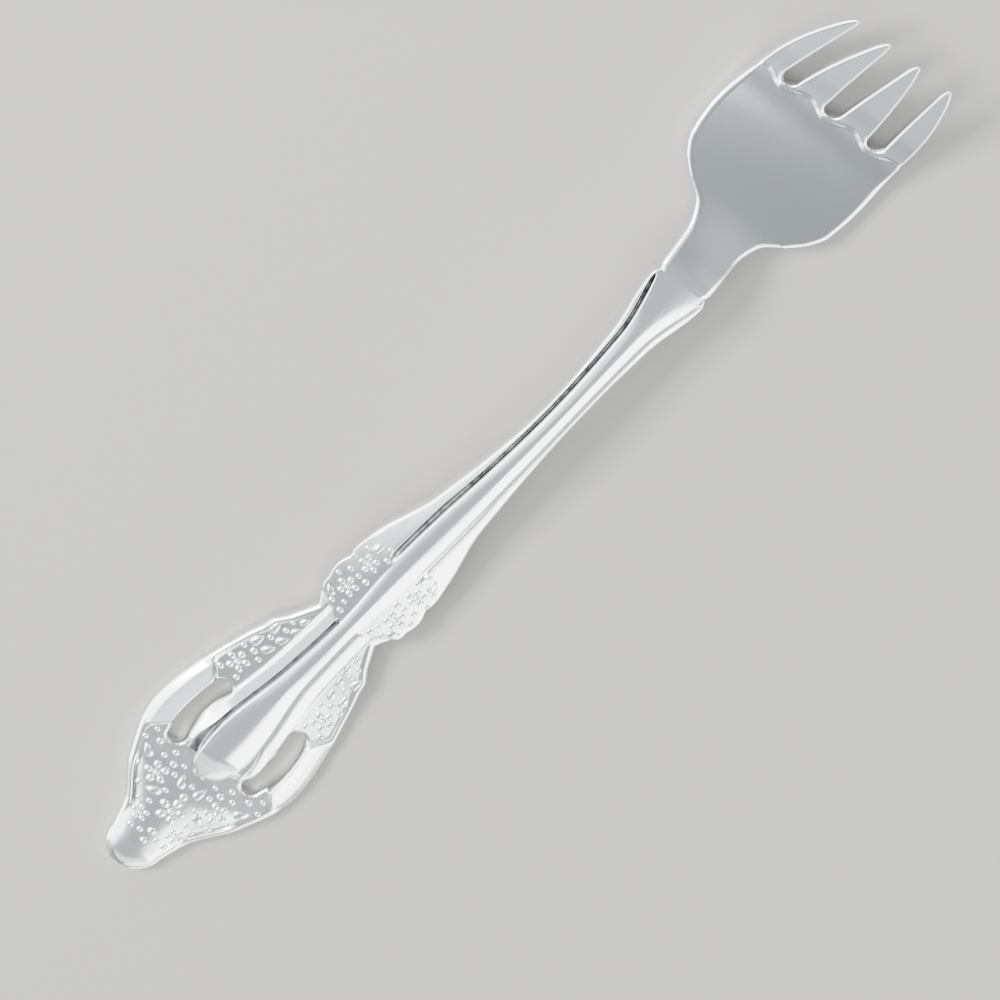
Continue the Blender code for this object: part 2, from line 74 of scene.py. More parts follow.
def smooth_curve(*knots):
    """A curve through the knots that never overshoots them: a monotone cubic."""
    at, value = np.array(knots, float).T
    gap = np.diff(at)
    rate = np.diff(value) / gap
    slope = np.concatenate([rate[:1], np.zeros(len(at) - 2), rate[-1:]])
    for k in range(1, len(at) - 1):
        if rate[k - 1] * rate[k] > 0:
            before = 2 * gap[k] + gap[k - 1]
            after = gap[k] + 2 * gap[k - 1]
            slope[k] = (before + after) / (before / rate[k - 1] + after / rate[k])

    def curve(x):
        x = np.clip(x, at[0], at[-1])
        k = np.clip(np.searchsorted(at, x, side="right") - 1, 0, len(gap) - 1)
        t = (x - at[k]) / gap[k]
        start = (1 + 2 * t) * (1 - t) ** 2 * value[k] + t * (1 - t) ** 2 * gap[k] * slope[k]
        end = t * t * (3 - 2 * t) * value[k + 1] + t * t * (t - 1) * gap[k] * slope[k + 1]
        return start + end

    return curve


def ease(x, start, end):
    """From 0 at the start to 1 at the end, level at both."""
    t = np.clip((x - start) / (end - start), 0, 1)
    return t * t * (3 - 2 * t)


def arc_growth(x, length):
    """From 0 to 1 over a length, round like a quarter of an ellipse."""
    return np.sqrt(1 - (1 - np.clip(x / length, 0, 1)) ** 2)


def fillet(distance, radius):
    """How far a rounded edge lies below its face, at a distance from the edge."""
    inward = np.clip(radius - distance, 0, radius)
    return radius - np.sqrt(radius ** 2 - inward ** 2)


# The underside rests on the table along the handle end and under the palm, and arches between them
HANDLE_FLAT = 33
STEM_TAPER = STEM_START + 10
STEM_NARROWEST = STEM_START + 32
PALM_FLAT = (HEEL + 7.5, HEEL + 12.5)
underside = smooth_curve(
    (0, 0), (HANDLE_FLAT, 0), (WAIST, 1.4), (STEM_START, 2.3), (STEM_NARROWEST, 4.7), (SHOULDER, 4.2),
    (HEEL, 1.4), (PALM_FLAT[0], 0), (PALM_FLAT[1], 0), (ROOT, 1.6), (TIP, 7.7))

NOSE_LENGTH = 4.0
NOSE_WIDTH = 8.4
WAIST_HALF = 4.8
LEAF_TIP_AT = WAIST - 5.7
LEAF_TIP_LENGTH = 3.6
LEAF_TIP_RISE = 0.4
SPEAR_AT = 22.8
handle_outline = smooth_curve(
    (NOSE_LENGTH, NOSE_WIDTH / 2), (8, 5.4), (14, 9.2), (SPEAR_AT, 12.0), (WAIST - 10, 9.0),
    (WAIST, WAIST_HALF))


def handle_half(x):
    """Half the handle end's width: round nose, ogee flanks, and a leaf tip before the waist."""
    nose = arc_growth(x, NOSE_LENGTH) * NOSE_WIDTH / 2
    off_tip = np.clip(np.abs(x - LEAF_TIP_AT) / (LEAF_TIP_LENGTH / 2), 0, 1)
    flank = handle_outline(x) + LEAF_TIP_RISE * (1 - off_tip)
    return np.where(x < NOSE_LENGTH, nose, flank)


SLOT_AT = 25.1
SLOT_LENGTH = 11.8
SLOT_RADIUS = 1.15
SLOT_OFFSET = 6.2
SLOT_BOW = 0.8
SLOT_REACH = SLOT_LENGTH / 2 - SLOT_RADIUS
SLOT_ROUND = 0.6
SLOT_BACK_ROUND = 0.25


def slot_middle(x):
    t = np.clip((x - SLOT_AT) / SLOT_REACH, -1, 1)
    return SLOT_OFFSET + SLOT_BOW * (1 - t * t)


def slot_opening(x):
    """Half the pierced gap across the fork: nothing beyond the slot's round ends."""
    beyond = np.clip(np.abs(x - SLOT_AT) - SLOT_REACH, 0, SLOT_RADIUS)
    return np.sqrt(SLOT_RADIUS ** 2 - beyond ** 2)


def off_slot(x, y):
    """Distance from a point on the face to the edge of the nearer slot."""
    beyond = np.clip(np.abs(x - SLOT_AT) - SLOT_REACH, 0, None)
    return np.hypot(beyond, np.abs(y) - slot_middle(x)) - SLOT_RADIUS


# The crowned panel starts on the handle end and runs on through the knop and the stem
PANEL_START = 17.2
PANEL_RISE_END = PANEL_START + 5.2
PANEL_FULL = 24.5
LEAF_AT = WAIST - 10
FLARE_AT = SHOULDER - 10.3
spine_width = smooth_curve(
    (PANEL_START, 3.2), (PANEL_FULL, 3.2), (LEAF_AT, 1.6), (WAIST, 1.3), (STEM_START, 1.75),
    (STEM_NARROWEST, 1.15), (FLARE_AT, 1.4), (SHOULDER, 3.4))
spine_top = smooth_curve(
    (PANEL_START, 1.45), (PANEL_RISE_END - 2.6, 2.22), (PANEL_RISE_END, 2.7), (LEAF_AT, 2.7), (WAIST, 2.6),
    (STEM_START, 2.4), (STEM_NARROWEST, 2.9), (SHOULDER, 2.6))
spine_crown = smooth_curve(
    (PANEL_START, 0.25), (PANEL_FULL, 0.5), (WAIST, 0.35), (FLARE_AT, 0.35), (SHOULDER, 0.25))
CROWN_POWER = 1.7
LEAST_PANEL_HALF = 0.2
PANEL_GATE = 0.3
BEVEL = 0.35


def spine_half(x):
    return spine_width(x) * arc_growth(x - PANEL_START, PANEL_FULL - PANEL_START)


def spine_face(x, y):
    """Height of the panel above the underside, rounded across."""
    share = np.clip(np.abs(y) / np.maximum(spine_half(x), LEAST_PANEL_HALF), 0, 1)
    return spine_top(x) + spine_crown(x) * (1 - share ** CROWN_POWER)


def on_spine(x, y):
    """1 on the panel, 0 off it, with a bevel between."""
    return 1 - ease(np.abs(y), spine_half(x) - BEVEL / 2, spine_half(x) + BEVEL / 2)


# The sunk ground, the border along the outline, and the domed flower field behind the nose
FIELD_HEIGHT = 1.7
FIELD_TILT = 0.12
FIELD_TILT_PIVOT = 0.65
FIELD_TILT_RUN = (28, 32)
BORDER_HEIGHT = 1.45
BORDER_TILT = 0.33
BORDER_ROLL = 0.33
BORDER_ROLL_REACH = 1.2
BORDER_ROLL_RIMS = (1.0, 2.5)
BORDER_BEVEL = 0.45
NOSE_HEIGHT = 1.3
FLOWER_FIELD_HEIGHT = 2.7
FLOWER_FIELD_GROWTH = 8
FLOWER_FIELD_END = (13.5, 18)
DOME_MARGIN = 0.7
DOME_MARGIN_GAIN = 1.2
DOME_MARGIN_RUN = (6, 12)
LEAST_DOME_HALF = 0.5
DOME_POWER = 0.8
FLANK_LINE_AT = 1.45
FLANK_LINE_WIDTH = 0.3
FLANK_LINE_DEPTH = 0.35
FLANK_LINE_START = (7.5, 9.5)
FLANK_LINE_END = (13, 15.5)
rim_width = smooth_curve(
    (0, 0.8), (14, 0.8), (18.6, 0.9), (22.2, 3.8), (29.8, 3.4), (33.2, 0.8), (WAIST, 0.9))

# The bars beside the panel, and the grooves between
BAR_START = 19.6
BAR_BEGUN = 21.8
BAR_WIDTH = 1.7
BAR_TILT = 0.32
BAR_END_TILT = 0.58
BAR_TILT_RUN = (26, 31)
GROOVE_WIDTH = 0.6
GROOVE_DEPTH = 0.8
GROOVE_MOUTH = 0.9
MOUTH_RUN = (21.5, 26.5)
MOUTH_NARROWING = 0.4
LEAST_SIDE = 0.9


def bar_edges(x):
    """Inner and outer edge of the bar. The groove beside it opens out towards the nose."""
    mouth = 1 - ease(x, *MOUTH_RUN)
    inner = spine_half(x) + GROOVE_WIDTH + GROOVE_MOUTH * mouth
    outer = np.maximum(inner, spine_width(x) + GROOVE_WIDTH) + BAR_WIDTH * (1 - MOUTH_NARROWING * mouth)
    return inner, np.minimum(outer, handle_half(x) - LEAST_SIDE)


def flank_line(x, y):
    """1 along the bottom of the sunk line on the flanks behind the nose, 0 off it."""
    off_line = handle_half(x) - np.abs(y) - FLANK_LINE_AT
    run = ease(x, *FLANK_LINE_START) * (1 - ease(x, *FLANK_LINE_END))
    return np.exp(-(off_line / FLANK_LINE_WIDTH) ** 2) * run


def handle_relief(x, y):
    """Height of the handle end's face above the underside."""
    a = np.abs(y)
    half = handle_half(x)
    off_edge = half - a
    grown = arc_growth(x, NOSE_LENGTH)
    ground = NOSE_HEIGHT + (FIELD_HEIGHT - NOSE_HEIGHT) * grown
    ground = ground + FIELD_TILT * (FIELD_TILT_PIVOT * half - a) * ease(x, *FIELD_TILT_RUN)
    border = NOSE_HEIGHT + (BORDER_HEIGHT + BORDER_TILT * off_edge - NOSE_HEIGHT) * grown
    rolled = BORDER_ROLL * np.clip(BORDER_ROLL_REACH - off_edge, 0, None)
    border = border - rolled * ease(rim_width(x), *BORDER_ROLL_RIMS)
    on_border = 1 - ease(off_edge, rim_width(x) - BORDER_BEVEL, rim_width(x) + BORDER_BEVEL)
    height = ground + (border - ground) * on_border

    flower_field = arc_growth(x, FLOWER_FIELD_GROWTH) * (1 - ease(x, *FLOWER_FIELD_END))
    dome_half = half - DOME_MARGIN - DOME_MARGIN_GAIN * ease(x, *DOME_MARGIN_RUN)
    dome = np.clip(1 - (a / np.maximum(dome_half, LEAST_DOME_HALF)) ** 2, 0, 1)
    swell = (FLOWER_FIELD_HEIGHT - FIELD_HEIGHT) * flower_field * dome ** DOME_POWER
    height = np.where(swell > 0, np.maximum(height, ground + swell), height)
    height = height - FLANK_LINE_DEPTH * flank_line(x, y)

    bar_in, bar_out = bar_edges(x)
    begun = ease(x, BAR_START, BAR_BEGUN)
    tilt = BAR_END_TILT + (BAR_TILT - BAR_END_TILT) * ease(x, *BAR_TILT_RUN)
    bar = spine_top(x) - tilt * (a - bar_in)
    on_bar = (1 - ease(a, bar_out - BEVEL, bar_out + BEVEL)) * begun
    height = height + np.maximum(bar - height, 0) * on_bar
    floor_of_groove = spine_top(x) - GROOVE_DEPTH
    in_groove = (1 - ease(a, bar_in - BEVEL / 2, bar_in + BEVEL / 2)) * begun
    height = height + np.minimum(floor_of_groove - height, 0) * in_groove
    on_panel = on_spine(x, y) * ease(x, PANEL_START, PANEL_START + PANEL_GATE)
    height = height + (spine_face(x, y) - height) * on_panel
    return height - fillet(np.maximum(off_slot(x, y), 0), SLOT_ROUND)


KNOP_PEAK = WAIST + 4.6
KNOP_PEAK_HALF = 6.9
KNOP_END_HALF = 6.25
STEM_TAPER_HALF = 3.95
KNOP_LOBES = 3
KNOP_LOBE_DEPTH = 0.45
KNOP_STEP = 0.06
KNOP_STEP_FADE = 4
ROLL_POWER = 1.2
side_drop = smooth_curve(
    (WAIST, 0.8), (STEM_START, 1.3), (STEM_TAPER, 0.8), (STEM_NARROWEST, 0.35), (SHOULDER - 8, 0.4),
    (SHOULDER - 1, 0))
knop_outline = smooth_curve(
    (WAIST, WAIST_HALF), (KNOP_PEAK, KNOP_PEAK_HALF), (STEM_START, KNOP_END_HALF),
    (STEM_TAPER, STEM_TAPER_HALF))


def knop_half(x):
    """Half the knop's width, with a scallop between each two lobes."""
    share = np.clip((x - WAIST) / (STEM_START - WAIST), 0, 1)
    scallop = 1 - np.abs(np.sin(math.pi * KNOP_LOBES * share))
    return knop_outline(x) - KNOP_LOBE_DEPTH * scallop * np.sin(math.pi * share)


def knop_relief(x, y):
    """Height of the knop's face: the panel, and on each side a flower field that falls to the edge."""
    a = np.abs(y)
    out = np.clip((a - spine_half(x)) / (knop_half(x) - spine_half(x)), 0, 1)
    step = KNOP_STEP * (1 - ease(x, STEM_START - KNOP_STEP_FADE, STEM_START)) * (1 - out)
    height = spine_top(x) - step - side_drop(x) * out ** ROLL_POWER
    return height + (spine_face(x, y) - height) * on_spine(x, y)


STEM_EDGE_ROUND = 0.2
STEM_ROLL = 0.45
STEM_ROLL_END = 2
STEM_GROOVE_DEPTH = 0.6
STEM_GROOVE_FLOOR = 0.1
STEM_GROOVE_CLOSE = (0.6, 1.6)
TEARDROP_END = 0.8
TEARDROP_LENGTH = 3
TEARDROP_POINT = 0.25
stem_groove_width = smooth_curve(
    (STEM_TAPER, 1.15), (STEM_START + 18, 0.85), (SHOULDER - 8, 0.85), (SHOULDER - 3, 0.9))
SHOULDER_NUB = 1.3
SHOULDER_HALF = 3.65
stem_outline = smooth_curve(
    (KNOP_PEAK, KNOP_PEAK_HALF), (STEM_START, KNOP_END_HALF), (STEM_TAPER, STEM_TAPER_HALF),
    (STEM_NARROWEST, 2.3), (FLARE_AT, 2.8), (SHOULDER - SHOULDER_NUB, 4.15), (SHOULDER, SHOULDER_HALF))


def stem_groove(x, y):
    """1 at the bottom of a groove, 0 off it. The groove closes in a teardrop at the shoulder."""
    teardrop = arc_growth(SHOULDER - TEARDROP_END - x, TEARDROP_LENGTH)
    wide = stem_groove_width(x) * (TEARDROP_POINT + (1 - TEARDROP_POINT) * teardrop)
    off_middle = np.abs(np.abs(y) - spine_half(x) - stem_groove_width(x) / 2)
    open_share = ease(SHOULDER - x, *STEM_GROOVE_CLOSE)
    return (1 - ease(off_middle, STEM_GROOVE_FLOOR * wide, wide / 2)) * open_share


def stem_relief(x, y):
    """Height of the stem's face: the panel, a groove on each side and a bead along the edge."""
    a = np.abs(y)
    out = np.clip((a - spine_half(x)) / (stem_outline(x) - spine_half(x)), 0, 1)
    roll = fillet(np.maximum(stem_outline(x) - a, 0), STEM_ROLL) * ease(SHOULDER - x, 0, STEM_ROLL_END)
    side = spine_top(x) - side_drop(x) * out ** ROLL_POWER - roll
    return side + (spine_face(x, y) - side) * on_spine(x, y) - STEM_GROOVE_DEPTH * stem_groove(x, y)


WAIST_SLANT = 0.5
WAIST_BLEND = (1.0, 0.4)
KNOP_BLEND = 1.5


def upper_face(x, y):
    """The coined face from nose to shoulder, so that its regions run into each other."""
    to_knop = ease(x - WAIST_SLANT * np.abs(y), WAIST - WAIST_BLEND[0], WAIST - WAIST_BLEND[1])
    to_stem = ease(x, STEM_START - KNOP_BLEND, STEM_START + KNOP_BLEND)
    height = handle_relief(x, y) * (1 - to_knop) + knop_relief(x, y) * to_knop
    return underside(x) + height * (1 - to_stem) + stem_relief(x, y) * to_stem


EDGE_ROUND = 0.5
LEAST_STEP = 0.02
LEAST_WIDTH = 0.001
MOST_STRETCH = 3
ARC_STEPS = np.linspace(0, math.pi / 2, 6)


def across(lines, counts, reach):
    """Places across a strip, in steps between guide lines and round both edges."""
    arc = np.outer(reach, 1 - np.cos(ARC_STEPS))
    low_part = lines[0][:, None] + arc
    high_part = lines[-1][:, None] - arc
    guides = [low_part[:, -1]]
    for k, line in enumerate(lines[1:-1]):
        room = LEAST_STEP * (len(lines) - 2 - k)
        most = np.maximum(high_part[:, -1] - room, guides[-1])
        guides.append(np.clip(line, guides[-1] + LEAST_STEP, most))
    guides.append(high_part[:, -1])
    spans = []
    for start, end, count in zip(guides, guides[1:], counts):
        share = np.linspace(0, 1, count + 1)[1:]
        spans.append(start[:, None] + np.outer(end - start, share))
    return np.hstack([low_part] + spans + [high_part[:, -2::-1]])


def strip(x, lines, counts, face, under, free=(True, True), radius=EDGE_ROUND, under_count=12, fall=1,
          slope=None):
    """One strip of the stamping between its edge lines: its face and underside as grids of points.

    A free edge is rounded on both sides and gets a wall. An edge that is an array of True and False is
    shared with the next strip where it is False, and face and under round it themselves. The rounding
    reaches in by the radius and falls by a share of it.
    """
    low, high = lines[0], lines[-1]
    stretch = np.minimum(np.hypot(1, np.gradient(high, x) if slope is None else slope), MOST_STRETCH)
    reach = np.minimum(radius * stretch, np.maximum(high - low, LEAST_WIDTH) / 3)
    arc = np.outer(fall * reach / stretch, 1 - np.sin(ARC_STEPS))
    grids = []
    sides = ((face, lines, counts, -1), (under, (low, high), (under_count,), 1))
    for surface, guides, steps, side in sides:
        y = across(guides, steps, reach)
        along = x[:, None] + 0 * y
        height = surface(along, y)
        height[:, :arc.shape[1]] += side * arc * (free[0] is True)
        height[:, -arc.shape[1]:] += side * arc[:, ::-1] * (free[1] is True)
        grids.append(np.dstack([along, y, height]))
    return {"face": grids[0], "under": grids[1], "free": free}


def mirrored(piece):
    """The same strip on the other side of the fork."""
    flipped = {name: piece[name][:, ::-1] * (1, -1, 1) for name in ("face", "under")}
    flipped["free"] = piece["free"][::-1]
    return flipped


def grid_faces(ids, turned):
    quads = np.stack([ids[:-1, :-1], ids[1:, :-1], ids[1:, 1:], ids[:-1, 1:]], axis=-1).reshape(-1, 4)
    return (quads[:, ::-1] if turned else quads).tolist()


WELD_DISTANCE = 0.001
SHARP_ANGLE = math.radians(60)


def stamped(name, strips, material, attribute, shade):
    """Closed mesh object from strips, with one attribute worked out from x, y and z."""
    points, faces, count = [], [], 0
    for piece in strips:
        ids = []
        for part in ("face", "under"):
            rows, columns = piece[part].shape[:2]
            points.append(piece[part].reshape(-1, 3))
            ids.append(count + np.arange(rows * columns).reshape(rows, columns))
            count += rows * columns
        top, bottom = ids
        faces += grid_faces(top, False) + grid_faces(bottom, True)
        for edge, free in zip((0, -1), piece["free"]):
            wall = np.stack([bottom[:, edge], top[:, edge]], axis=1)
            open_at = np.broadcast_to(np.array(free), len(wall))
            quads = grid_faces(wall, edge == -1)
            faces += [quad for quad, keep in zip(quads, open_at[:-1] | open_at[1:]) if keep]
        faces.append(top[0].tolist() + bottom[0][::-1].tolist())
        faces.append(top[-1][::-1].tolist() + bottom[-1].tolist())
    mesh = bpy.data.meshes.new(name)
    mesh.from_pydata((np.vstack(points) * MM + (NOSE_X, 0, 0)).tolist(), [], faces)
    bm = bmesh.new()
    bm.from_mesh(mesh)
    bmesh.ops.remove_doubles(bm, verts=bm.verts, dist=WELD_DISTANCE * MM)
    bm.to_mesh(mesh)
    bm.free()
    mesh.shade_smooth()
    mesh.set_sharp_from_angle(angle=SHARP_ANGLE)
    mesh.materials.append(material)
    place = np.empty(len(mesh.vertices) * 3)
    mesh.vertices.foreach_get("co", place)
    x, y, z = ((place.reshape(-1, 3) - (NOSE_X, 0, 0)) / MM).T
    layer = mesh.attributes.new(attribute, "FLOAT", "POINT")
    layer.data.foreach_set("value", shade(x, y, z).astype(np.float32))
    obj = bpy.data.objects.new(name, mesh)
    bpy.context.scene.collection.objects.link(obj)
    return obj


def colour(hex_value):
    """sRGB hex to the linear colour that shaders take."""
    channels = [int(hex_value[k:k + 2], 16) / 255 for k in (0, 2, 4)]
    return (*[c / 12.92 if c <= 0.04045 else ((c + 0.055) / 1.055) ** 2.4 for c in channels], 1)


def add_node(tree, kind, settings=None, values=None, links=None):
    """A node with its settings, its unlinked input values, and the outputs that feed its inputs."""
    node = tree.nodes.new(kind)
    for name, value in (settings or {}).items():
        setattr(node, name, value)
    for key, value in (values or {}).items():
        node.inputs[key].default_value = value
    for key, output in (links or {}).items():
        tree.links.new(output, node.inputs[key])
    return node


# Polished stainless steel: struck, then tumbled bright. It mirrors the room with a faint waviness,
# shows hair-thin handling scratches, and is painted dark grey down in the grooves and sunk ground:
# partly a tarnish film, partly painted shade for their shadow and for the dark table they mirror.
POLISH_WAVE_MM = 3.0
SCRATCH_SPACING_MM = 0.35
SHADE_PATCH_MM = 1.2

polished_steel = bpy.data.materials.new("polished_stainless_steel")
polished_steel.use_nodes = True
tree = polished_steel.node_tree
shader = tree.nodes["Principled BSDF"]
shader.inputs["Metallic"].default_value = 1
place = add_node(tree, "ShaderNodeTexCoord").outputs["Object"]
shade_noise = add_node(tree, "ShaderNodeTexNoise", values={"Scale": 1 / (SHADE_PATCH_MM * MM), "Detail": 3},
                      links={"Vector": place})
# Painted shade: a mask of the hollows mixes dark grey into the metal's colour, in patches, and dulls it
painted_shade = add_node(tree, "ShaderNodeAttribute", {"attribute_name": "painted_shade"})
shade_patches = add_node(tree, "ShaderNodeMapRange",
                values={"From Min": 0.3, "From Max": 0.7, "To Min": 0.75, "To Max": 1},
                links={"Value": shade_noise.outputs["Fac"]})
shade_amount = add_node(tree, "ShaderNodeMath", {"operation": "MULTIPLY"},
                       links={0: painted_shade.outputs["Fac"], 1: shade_patches.outputs["Result"]})
tint = add_node(tree, "ShaderNodeMix", {"data_type": "RGBA"},
                {"A": colour("E4E6E6"), "B": colour("3A3C3C")}, {"Factor": shade_amount.outputs[0]})
tree.links.new(tint.outputs["Result"], shader.inputs["Base Color"])
scratch_place = add_node(tree, "ShaderNodeMapping", values={"Scale": (0.06, 1, 1), "Rotation": (0, 0, 0.5)},
                         links={"Vector": place})
scratches = add_node(tree, "ShaderNodeTexNoise",
                     values={"Scale": 1 / (SCRATCH_SPACING_MM * MM), "Detail": 2, "Roughness": 0.7},
                     links={"Vector": scratch_place.outputs["Vector"]})
gloss = add_node(tree, "ShaderNodeMapRange",
                 values={"From Min": 0.35, "From Max": 0.75, "To Min": 0.15, "To Max": 0.22},
                 links={"Value": scratches.outputs["Fac"]})
dulled = add_node(tree, "ShaderNodeMath", {"operation": "MULTIPLY_ADD"}, {1: 0.25},
                  {0: shade_amount.outputs[0], 2: gloss.outputs["Result"]})
tree.links.new(dulled.outputs[0], shader.inputs["Roughness"])
wave = add_node(tree, "ShaderNodeTexNoise", values={"Scale": 1 / (POLISH_WAVE_MM * MM), "Detail": 1},
                links={"Vector": place})
bump = add_node(tree, "ShaderNodeBump", values={"Strength": 0.15, "Distance": 0.02 * MM},
                links={"Height": wave.outputs["Fac"]})
tree.links.new(bump.outputs["Normal"], shader.inputs["Normal"])


def handle_back(x, y):
    return underside(x) + fillet(np.maximum(off_slot(x, y), 0), SLOT_BACK_ROUND)


# How much painted shade, over a tarnish film, each hollow gets; the lit right side's grooves get the least
GROUND_SHADE = 0.26
NOSE_SHADE = 0.22
KNOP_SHADE = 0.25
FLANK_SHADE = 0.9
LIT_SIDE_SHADE = 0.05
FACE_HEIGHTS = (0.9, 1.1)
GROUND_HEIGHTS = (1.95, 2.2)
GROUND_MARGIN = (0.5, 0.8)
NOSE_FIELD_START = (3, 6)
NOSE_FIELD_END = (17, 19)
NOSE_FIELD_MARGIN = (1.8, 2.4)
KNOP_FIELD_MARGIN = (0.4, 0.8)
PANEL_MARGIN = (0, 0.4)
GROOVE_FADE = 0.8
SHANK_DEPTHS = (0.1, 0.6)
WAIST_FADE = 0.5
KNOP_FADE = 1


def upper_painted_shade(x, y, z):
    """How much painted shade and tarnish a place gets: all of it in the grooves, a little on the sunk
    ground.

    The grooves on the right, where the light falls brightest, are painted almost clean.
    """
    a = np.abs(y)
    height = z - underside(x)
    off_edge = handle_half(x) - a
    bar_in = bar_edges(x)[0]
    groove = ease(a, spine_half(x), spine_half(x) + BEVEL / 2) * (1 - ease(a, bar_in - BEVEL / 2, bar_in))
    groove = groove * ease(x, BAR_START, BAR_START + GROOVE_FADE) * (1 - ease(x, WAIST - WAIST_FADE, WAIST))
    past_knop = ease(x, STEM_START - KNOP_FADE, STEM_START)
    shank = ease(stem_groove(x, y), *SHANK_DEPTHS) * past_knop
    flank = FLANK_SHADE * flank_line(x, y)
    # Painted shade: the grooves on the brightly lit right side get almost none
    side_shade = np.where(y < 0, LIT_SIDE_SHADE, 1)
    sunk = (1 - ease(height, *GROUND_HEIGHTS)) * (x < WAIST)
    ground = GROUND_SHADE * sunk * ease(off_edge, *GROUND_MARGIN)
    nose_field = NOSE_SHADE * ease(x, *NOSE_FIELD_START) * (1 - ease(x, *NOSE_FIELD_END))
    nose_field = nose_field * ease(off_edge, *NOSE_FIELD_MARGIN)
    knop_field = KNOP_SHADE * ease(x, WAIST, WAIST + WAIST_FADE) * (1 - past_knop)
    knop_field = knop_field * ease(a - spine_half(x), *PANEL_MARGIN)
    knop_field = knop_field * ease(knop_half(x) - a, *KNOP_FIELD_MARGIN)
    fields = np.maximum(np.maximum(ground, nose_field), knop_field)
    lines = side_shade * np.maximum(np.maximum(groove, shank), flank)
    return ease(height, *FACE_HEIGHTS) * np.maximum(fields, lines)


STEP = 0.2
FINE_STEP = 0.1
FINE_REACH = 2
HANDLE_BACK_COUNT = 8
nose_turn = np.linspace(0.02, math.pi / 2, 24)
slot_turn = np.linspace(0, math.pi / 2, 10)
slot_start, slot_end = SLOT_AT - SLOT_LENGTH / 2, SLOT_AT + SLOT_LENGTH / 2
round_in = SLOT_RADIUS * (1 - np.cos(slot_turn))
handle_x = np.concatenate([
    NOSE_LENGTH * (1 - np.cos(nose_turn)),
    np.arange(NOSE_LENGTH + STEP, PANEL_START, STEP),
    np.arange(PANEL_START, slot_start - FINE_STEP / 2, FINE_STEP),
    slot_start + round_in,
    np.arange(slot_start + SLOT_RADIUS + FINE_STEP, slot_end - SLOT_RADIUS - FINE_STEP / 2,
              1.5 * FINE_STEP),
    (slot_end - round_in)[::-1],
    np.arange(slot_end + FINE_STEP, slot_end + FINE_REACH, FINE_STEP),
    np.arange(slot_end + FINE_REACH, WAIST - STEP / 2, STEP),
    [WAIST],
])
# Guide lines keep to shares of the width towards the nose, so that they stay in order there
half = handle_half(handle_x)
middle = np.minimum(slot_middle(handle_x), 0.6 * half)
gap = np.where(np.abs(handle_x - SLOT_AT) < SLOT_LENGTH / 2, slot_opening(handle_x), 0)
pierced = gap > 0
panel_line = np.maximum(spine_half(handle_x), 0.2 * middle)
bar_in, bar_out = bar_edges(handle_x)
bar_in = np.maximum(bar_in, 0.4 * middle)
inner_lines = (
    0 * half, panel_line - BEVEL / 2, panel_line + BEVEL / 2, bar_in - BEVEL / 2, bar_in + BEVEL / 2,
    bar_out - BEVEL, bar_out + BEVEL, middle - gap)
inner = strip(handle_x, inner_lines, (18, 4, 4, 4, 8, 6, 8), upper_face, handle_back, (False, pierced),
              SLOT_ROUND, HANDLE_BACK_COUNT)
rim_line = half - np.minimum(rim_width(handle_x), 0.3 * half)
outer_lines = (middle + gap, rim_line - BORDER_BEVEL, rim_line + BORDER_BEVEL, half)
outer = strip(handle_x, outer_lines, (24, 6, 14), upper_face, handle_back, (pierced, True), EDGE_ROUND,
              HANDLE_BACK_COUNT)
handle_end = stamped("handle_end", [inner, outer, mirrored(inner), mirrored(outer)], polished_steel,
                     "painted_shade", upper_painted_shade)
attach(handle_end, "root")
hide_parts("handle_end")


# Knop
# The swelling above the waist, part of the same stamping: scalloped edges, and the plain panel
# between two bosses that carry the flowers.

PANEL_COUNT = 20
PANEL_BACK_COUNT = 16


def plain_back(x, y):
    return underside(x) + 0 * y


def panelled(x, half, counts):
    """Strip across the knop or the stem, with guide lines along the panel and its grooves."""
    panel = np.minimum(spine_half(x), half - LEAST_SIDE)
    groove = stem_groove_width(x)
    right = (panel - BEVEL / 2, panel + BEVEL / 2, panel + groove / 2, panel + groove, half)
    lines = [-line for line in right[::-1]] + list(right)
    counts = counts[::-1] + (PANEL_COUNT,) + counts
    return strip(x, lines, counts, upper_face, plain_back, radius=STEM_EDGE_ROUND,
                 under_count=PANEL_BACK_COUNT)


knop_x = np.linspace(WAIST, STEM_START, 100)
knop_strip = panelled(knop_x, knop_half(knop_x), (4, 4, 4, 30))
knop = stamped("knop", [knop_strip], polished_steel, "painted_shade", upper_painted_shade)
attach(knop, "root")
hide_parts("knop")


# Coined flowers
# Blossoms, beads and leaves struck up from the ground of the handle end and the knop, in the same
# polished steel. One Geometry Nodes tree sets all three on points that carry their size and turn.

BEAD, LEAF, BLOSSOM = range(3)
MOTIF_SETTINGS = {"Segments": 10, "Rings": 6, "Petals": 5, "Leaf Taper": -0.55, "Leaf Furrow": 0.35}
PETAL_RING = 0.63
PETAL_SCALE = (0.4, 0.34, 0.8)
HEART_SCALE = (0.3, 0.3, 1.1)

motif_tree = bpy.data.node_groups.new("coined_motifs", "GeometryNodeTree")
for socket, kind in (("Points", "Geometry"), ("Segments", "Int"), ("Rings", "Int"), ("Petals", "Int"),
                     ("Leaf Taper", "Float"), ("Leaf Furrow", "Float"), ("Material", "Material")):
    motif_tree.interface.new_socket(socket, in_out="INPUT", socket_type="NodeSocket" + kind)
motif_tree.interface.new_socket("Motifs", in_out="OUTPUT", socket_type="NodeSocketGeometry")
given = add_node(motif_tree, "NodeGroupInput").outputs
bead = add_node(motif_tree, "GeometryNodeMeshUVSphere", values={"Radius": 1},
                links={"Segments": given["Segments"], "Rings": given["Rings"]}).outputs["Mesh"]
place = add_node(motif_tree, "GeometryNodeInputPosition").outputs["Position"]
axes = add_node(motif_tree, "ShaderNodeSeparateXYZ", links={"Vector": place}).outputs


def motif_math(operation, *outputs):
    """Output of a maths node in the motif tree, fed by other outputs."""
    node = add_node(motif_tree, "ShaderNodeMath", {"operation": operation}, links=dict(enumerate(outputs)))
    return node.outputs[0]


